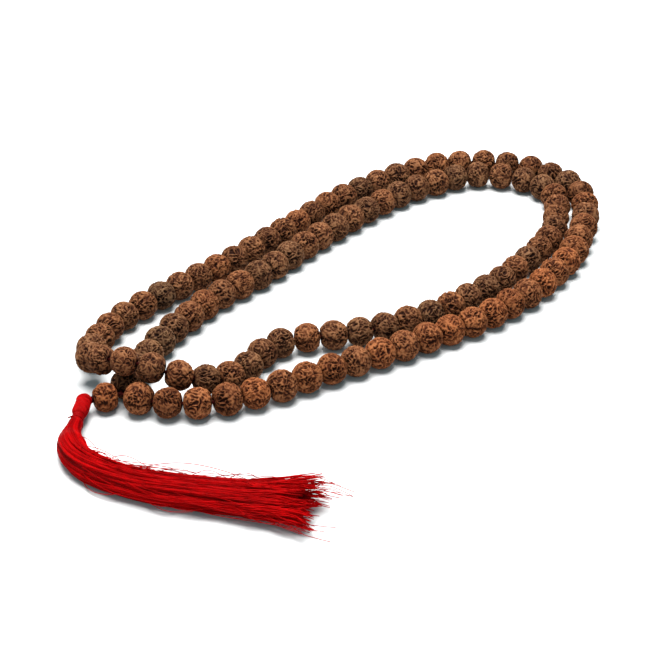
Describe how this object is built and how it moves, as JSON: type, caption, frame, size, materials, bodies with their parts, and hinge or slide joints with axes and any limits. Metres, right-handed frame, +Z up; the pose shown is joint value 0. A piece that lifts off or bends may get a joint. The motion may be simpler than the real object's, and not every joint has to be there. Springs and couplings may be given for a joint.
{
  "type": "mala prayer beads",
  "caption": "Prayer bead string: rough seed beads on one cord laid as a doubled loop, closed at a guru bead, with a knotted thread tassel.",
  "frame": {"origin": "middle of the laid-out mala's bounding box, on the surface it lies on", "axes": "+X along the doubled loop's long way, from the tassel towards the far bend; +Y across it; +Z up from the surface"},
  "size_m": [0.2333, 0.1169, 0.0169],
  "materials": {
    "bead_seed": "deeply wrinkled natural seed, dull with a faint oil sheen on the ridges",
    "guru_seed": "deeply wrinkled natural seed, dull with a faint oil sheen on the ridges",
    "cord_thread": "twisted cotton thread, matt",
    "tassel_silk": "fine silky thread, soft sheen along the strands",
    "binding_thread": "wound silky thread"
  },
  "bodies": {
    "cord": {"stringing_cord": "cord_thread", "closing_knot": "cord_thread"},
    "tassel_top": {"tassel_head": "tassel_silk", "tassel_binding": "binding_thread"},
    "tassel_skirt": {"tassel_skirt": "tassel_silk"},
    "guru_bead": {"guru_bead": "guru_seed"},
    "beads_01": {"beads_01": "bead_seed"},
    "beads_02": {"beads_02": "bead_seed"},
    "beads_03": {"beads_03": "bead_seed"},
    "beads_04": {"beads_04": "bead_seed"},
    "beads_05": {"beads_05": "bead_seed"},
    "beads_06": {"beads_06": "bead_seed"},
    "beads_07": {"beads_07": "bead_seed"},
    "beads_08": {"beads_08": "bead_seed"},
    "beads_09": {"beads_09": "bead_seed"},
    "beads_10": {"beads_10": "bead_seed"},
    "beads_11": {"beads_11": "bead_seed"},
    "beads_12": {"beads_12": "bead_seed"},
    "beads_13": {"beads_13": "bead_seed"},
    "beads_14": {"beads_14": "bead_seed"},
    "beads_15": {"beads_15": "bead_seed"},
    "beads_16": {"beads_16": "bead_seed"},
    "beads_17": {"beads_17": "bead_seed"},
    "beads_18": {"beads_18": "bead_seed"},
    "beads_19": {"beads_19": "bead_seed"},
    "beads_20": {"beads_20": "bead_seed"},
    "beads_21": {"beads_21": "bead_seed"},
    "beads_22": {"beads_22": "bead_seed"},
    "beads_23": {"beads_23": "bead_seed"},
    "beads_24": {"beads_24": "bead_seed"},
    "beads_25": {"beads_25": "bead_seed"},
    "beads_26": {"beads_26": "bead_seed"},
    "beads_27": {"beads_27": "bead_seed"},
    "beads_28": {"beads_28": "bead_seed"},
    "beads_29": {"beads_29": "bead_seed"},
    "beads_30": {"beads_30": "bead_seed"},
    "beads_31": {"beads_31": "bead_seed"},
    "beads_32": {"beads_32": "bead_seed"},
    "beads_33": {"beads_33": "bead_seed"},
    "beads_34": {"beads_34": "bead_seed"},
    "beads_35": {"beads_35": "bead_seed"},
    "beads_36": {"beads_36": "bead_seed"},
    "beads_37": {"beads_37": "bead_seed"},
    "beads_38": {"beads_38": "bead_seed"},
    "beads_39": {"beads_39": "bead_seed"},
    "beads_40": {"beads_40": "bead_seed"},
    "beads_41": {"beads_41": "bead_seed"},
    "beads_42": {"beads_42": "bead_seed"},
    "beads_43": {"beads_43": "bead_seed"},
    "beads_44": {"beads_44": "bead_seed"},
    "beads_45": {"beads_45": "bead_seed"},
    "beads_46": {"beads_46": "bead_seed"},
    "beads_47": {"beads_47": "bead_seed"},
    "beads_48": {"beads_48": "bead_seed"},
    "beads_49": {"beads_49": "bead_seed"},
    "beads_50": {"beads_50": "bead_seed"},
    "beads_51": {"beads_51": "bead_seed"},
    "beads_52": {"beads_52": "bead_seed"},
    "beads_53": {"beads_53": "bead_seed"},
    "beads_54": {"beads_54": "bead_seed"}
  },
  "joints": [
    {"name": "tassel_swing", "type": "hinge", "parent": "cord", "child": "tassel_top", "pos_m": [-0.09235, 0.02734, 0.00415], "axis": [0, 0, 1], "range_deg": [-110, 20]},
    {"name": "tassel_lift", "type": "hinge", "parent": "tassel_top", "child": "tassel_skirt", "pos_m": [-0.10268, 0.02005, 0.00415], "axis": [-0.976, 0.2179, 0], "range_deg": [0, 75]},
    {"name": "guru_spin", "type": "hinge", "parent": "cord", "child": "guru_bead", "pos_m": [-0.08709, 0.0243, 0.00415], "axis": [0.866, -0.5, 0], "continuous": true},
    {"name": "spin_01", "type": "hinge", "parent": "cord", "child": "beads_01", "pos_m": [-0.08208, 0.016, 0.00471], "axis": [0.2855, -0.9582, -0.0168], "continuous": true},
    {"name": "spin_02", "type": "hinge", "parent": "cord", "child": "beads_02", "pos_m": [-0.07853, 0.00847, 0.00465], "axis": [0.5597, -0.8287, 0.0018], "continuous": true},
    {"name": "spin_03", "type": "hinge", "parent": "cord", "child": "beads_03", "pos_m": [-0.07328, 0.00199, 0.00466], "axis": [0.6949, -0.7191, 0], "continuous": true},
    {"name": "spin_04", "type": "hinge", "parent": "cord", "child": "beads_04", "pos_m": [-0.06295, -0.00486, 0.00466], "axis": [0.8881, -0.4597, 0], "continuous": true},
    {"name": "spin_05", "type": "hinge", "parent": "cord", "child": "beads_05", "pos_m": [-0.04362, -0.01232, 0.00466], "axis": [0.9567, -0.2911, 0], "continuous": true},
    {"name": "spin_06", "type": "hinge", "parent": "cord", "child": "beads_06", "pos_m": [-0.01985, -0.01983, 0.00466], "axis": [0.9504, -0.311, 0], "continuous": true},
    {"name": "spin_07", "type": "hinge", "parent": "cord", "child": "beads_07", "pos_m": [0.00402, -0.02717, 0.00466], "axis": [0.9608, -0.2773, 0], "continuous": true},
    {"name": "spin_08", "type": "hinge", "parent": "cord", "child": "beads_08", "pos_m": [0.02865, -0.0315, 0.00466], "axis": [0.9977, -0.0678, 0], "continuous": true},
    {"name": "spin_09", "type": "hinge", "parent": "cord", "child": "beads_09", "pos_m": [0.05367, -0.0305, 0.00466], "axis": [0.9891, 0.1474, 0], "continuous": true},
    {"name": "spin_10", "type": "hinge", "parent": "cord", "child": "beads_10", "pos_m": [0.07768, -0.02365, 0.00466], "axis": [0.9183, 0.3959, 0], "continuous": true},
    {"name": "spin_11", "type": "hinge", "parent": "cord", "child": "beads_11", "pos_m": [0.09621, -0.01395, 0.00466], "axis": [0.8277, 0.5612, 0], "continuous": true},
    {"name": "spin_12", "type": "hinge", "parent": "cord", "child": "beads_12", "pos_m": [0.10576, -0.00575, 0.00466], "axis": [0.597, 0.8022, 0], "continuous": true},
    {"name": "spin_13", "type": "hinge", "parent": "cord", "child": "beads_13", "pos_m": [0.10967, 0.0018, 0.00466], "axis": [0.3088, 0.9511, 0], "continuous": true},
    {"name": "spin_14", "type": "hinge", "parent": "cord", "child": "beads_14", "pos_m": [0.11126, 0.01003, 0.00466], "axis": [0.0633, 0.998, 0], "continuous": true},
    {"name": "spin_15", "type": "hinge", "parent": "cord", "child": "beads_15", "pos_m": [0.11126, 0.01847, 0.00466], "axis": [-0.0596, 0.9982, 0], "continuous": true},
    {"name": "spin_16", "type": "hinge", "parent": "cord", "child": "beads_16", "pos_m": [0.10671, 0.02998, 0.00466], "axis": [-0.5123, 0.8588, 0.0002], "continuous": true},
    {"name": "spin_17", "type": "hinge", "parent": "cord", "child": "beads_17", "pos_m": [0.0956, 0.04208, 0.00463], "axis": [-0.8119, 0.5838, -0.0039], "continuous": true},
    {"name": "spin_18", "type": "hinge", "parent": "cord", "child": "beads_18", "pos_m": [0.07686, 0.05003, 0.00458], "axis": [-0.9688, 0.2477, -0.0016], "continuous": true},
    {"name": "spin_19", "type": "hinge", "parent": "cord", "child": "beads_19", "pos_m": [0.05266, 0.05364, 0.00456], "axis": [-0.999, 0.0454, 0], "continuous": true},
    {"name": "spin_20", "type": "hinge", "parent": "cord", "child": "beads_20", "pos_m": [0.02843, 0.05328, 0.00456], "axis": [-0.9971, -0.0763, 0.0001], "continuous": true},
    {"name": "spin_21", "type": "hinge", "parent": "cord", "child": "beads_21", "pos_m": [0.00443, 0.05204, 0.00452], "axis": [-0.9996, -0.0271, -0.003], "continuous": true},
    {"name": "spin_22", "type": "hinge", "parent": "cord", "child": "beads_22", "pos_m": [-0.01948, 0.05245, 0.00447], "axis": [-0.9981, 0.0622, -0.0013], "continuous": true},
    {"name": "spin_23", "type": "hinge", "parent": "cord", "child": "beads_23", "pos_m": [-0.04342, 0.0529, 0.00444], "axis": [-0.9997, -0.024, -0.0013], "continuous": true},
    {"name": "spin_24", "type": "hinge", "parent": "cord", "child": "beads_24", "pos_m": [-0.06272, 0.04931, 0.00504], "axis": [-0.9068, -0.4145, 0.0772], "continuous": true},
    {"name": "spin_25", "type": "hinge", "parent": "cord", "child": "beads_25", "pos_m": [-0.0733, 0.04367, 0.00629], "axis": [-0.8108, -0.5648, 0.1538], "continuous": true},
    {"name": "spin_26", "type": "hinge", "parent": "cord", "child": "beads_26", "pos_m": [-0.07904, 0.03808, 0.00811], "axis": [-0.5666, -0.7741, 0.2824], "continuous": true},
    {"name": "spin_27", "type": "hinge", "parent": "cord", "child": "beads_27", "pos_m": [-0.08146, 0.03103, 0.01107], "axis": [-0.0091, -0.9067, 0.4216], "continuous": true},
    {"name": "spin_28", "type": "hinge", "parent": "cord", "child": "beads_28", "pos_m": [-0.07988, 0.02349, 0.01285], "axis": [0.3978, -0.9175, 0.0031], "continuous": true},
    {"name": "spin_29", "type": "hinge", "parent": "cord", "child": "beads_29", "pos_m": [-0.07601, 0.01666, 0.01162], "axis": [0.5589, -0.7693, -0.3096], "continuous": true},
    {"name": "spin_30", "type": "hinge", "parent": "cord", "child": "beads_30", "pos_m": [-0.07094, 0.01106, 0.00897], "axis": [0.6998, -0.6238, -0.348], "continuous": true},
    {"name": "spin_31", "type": "hinge", "parent": "cord", "child": "beads_31", "pos_m": [-0.06471, 0.00681, 0.00643], "axis": [0.8546, -0.4344, -0.2845], "continuous": true},
    {"name": "spin_32", "type": "hinge", "parent": "cord", "child": "beads_32", "pos_m": [-0.05727, 0.00453, 0.00485], "axis": [0.9853, -0.1314, -0.1094], "continuous": true},
    {"name": "spin_33", "type": "hinge", "parent": "cord", "child": "beads_33", "pos_m": [-0.04539, 0.00564, 0.00443], "axis": [0.9789, 0.2042, 0.0035], "continuous": true},
    {"name": "spin_34", "type": "hinge", "parent": "cord", "child": "beads_34", "pos_m": [-0.03357, 0.00618, 0.00446], "axis": [0.9643, -0.2647, 0], "continuous": true},
    {"name": "spin_35", "type": "hinge", "parent": "cord", "child": "beads_35", "pos_m": [-0.02646, 0.00241, 0.00446], "axis": [0.7606, -0.6492, 0], "continuous": true},
    {"name": "spin_36", "type": "hinge", "parent": "cord", "child": "beads_36", "pos_m": [-0.01683, -0.00488, 0.00446], "axis": [0.8145, -0.5801, 0], "continuous": true},
    {"name": "spin_37", "type": "hinge", "parent": "cord", "child": "beads_37", "pos_m": [0.00083, -0.01375, 0.00446], "axis": [0.9347, -0.3554, 0], "continuous": true},
    {"name": "spin_38", "type": "hinge", "parent": "cord", "child": "beads_38", "pos_m": [0.02389, -0.01937, 0.00446], "axis": [0.9934, -0.1148, 0], "continuous": true},
    {"name": "spin_39", "type": "hinge", "parent": "cord", "child": "beads_39", "pos_m": [0.04771, -0.01977, 0.00446], "axis": [0.9967, 0.0816, 0], "continuous": true},
    {"name": "spin_40", "type": "hinge", "parent": "cord", "child": "beads_40", "pos_m": [0.06757, -0.01711, 0.00446], "axis": [0.9783, 0.2072, 0], "continuous": true},
    {"name": "spin_41", "type": "hinge", "parent": "cord", "child": "beads_41", "pos_m": [0.0858, -0.00932, 0.00446], "axis": [0.8598, 0.5106, 0], "continuous": true},
    {"name": "spin_42", "type": "hinge", "parent": "cord", "child": "beads_42", "pos_m": [0.09865, 0.00008, 0.00446], "axis": [0.6136, 0.7896, 0], "continuous": true},
    {"name": "spin_43", "type": "hinge", "parent": "cord", "child": "beads_43", "pos_m": [0.10227, 0.00731, 0.00446], "axis": [0.2602, 0.9656, 0], "continuous": true},
    {"name": "spin_44", "type": "hinge", "parent": "cord", "child": "beads_44", "pos_m": [0.10278, 0.01529, 0.00446], "axis": [-0.1333, 0.9911, 0], "continuous": true},
    {"name": "spin_45", "type": "hinge", "parent": "cord", "child": "beads_45", "pos_m": [0.10041, 0.02305, 0.00446], "axis": [-0.442, 0.897, 0], "continuous": true},
    {"name": "spin_46", "type": "hinge", "parent": "cord", "child": "beads_46", "pos_m": [0.09592, 0.02992, 0.00446], "axis": [-0.6443, 0.7648, 0], "continuous": true},
    {"name": "spin_47", "type": "hinge", "parent": "cord", "child": "beads_47", "pos_m": [0.08176, 0.03694, 0.00447], "axis": [-0.948, 0.3183, 0.0015], "continuous": true},
    {"name": "spin_48", "type": "hinge", "parent": "cord", "child": "beads_48", "pos_m": [0.05814, 0.04145, 0.00453], "axis": [-0.9986, 0.053, 0.0027], "continuous": true},
    {"name": "spin_49", "type": "hinge", "parent": "cord", "child": "beads_49", "pos_m": [0.03383, 0.0417, 0.00456], "axis": [-0.9995, -0.0324, -0.0001], "continuous": true},
    {"name": "spin_50", "type": "hinge", "parent": "cord", "child": "beads_50", "pos_m": [0.00947, 0.04006, 0.00456], "axis": [-0.9949, -0.1012, 0], "continuous": true},
    {"name": "spin_51", "type": "hinge", "parent": "cord", "child": "beads_51", "pos_m": [-0.015, 0.03914, 0.00456], "axis": [-0.9997, 0.0264, 0.0006], "continuous": true},
    {"name": "spin_52", "type": "hinge", "parent": "cord", "child": "beads_52", "pos_m": [-0.0395, 0.03734, 0.00462], "axis": [-0.9852, -0.1716, 0.0035], "continuous": true},
    {"name": "spin_53", "type": "hinge", "parent": "cord", "child": "beads_53", "pos_m": [-0.06329, 0.03095, 0.00463], "axis": [-0.9383, -0.3459, -0.0025], "continuous": true},
    {"name": "spin_54", "type": "hinge", "parent": "cord", "child": "beads_54", "pos_m": [-0.07855, 0.02476, 0.00433], "axis": [-0.8854, -0.4605, -0.0629], "continuous": true}
  ]
}
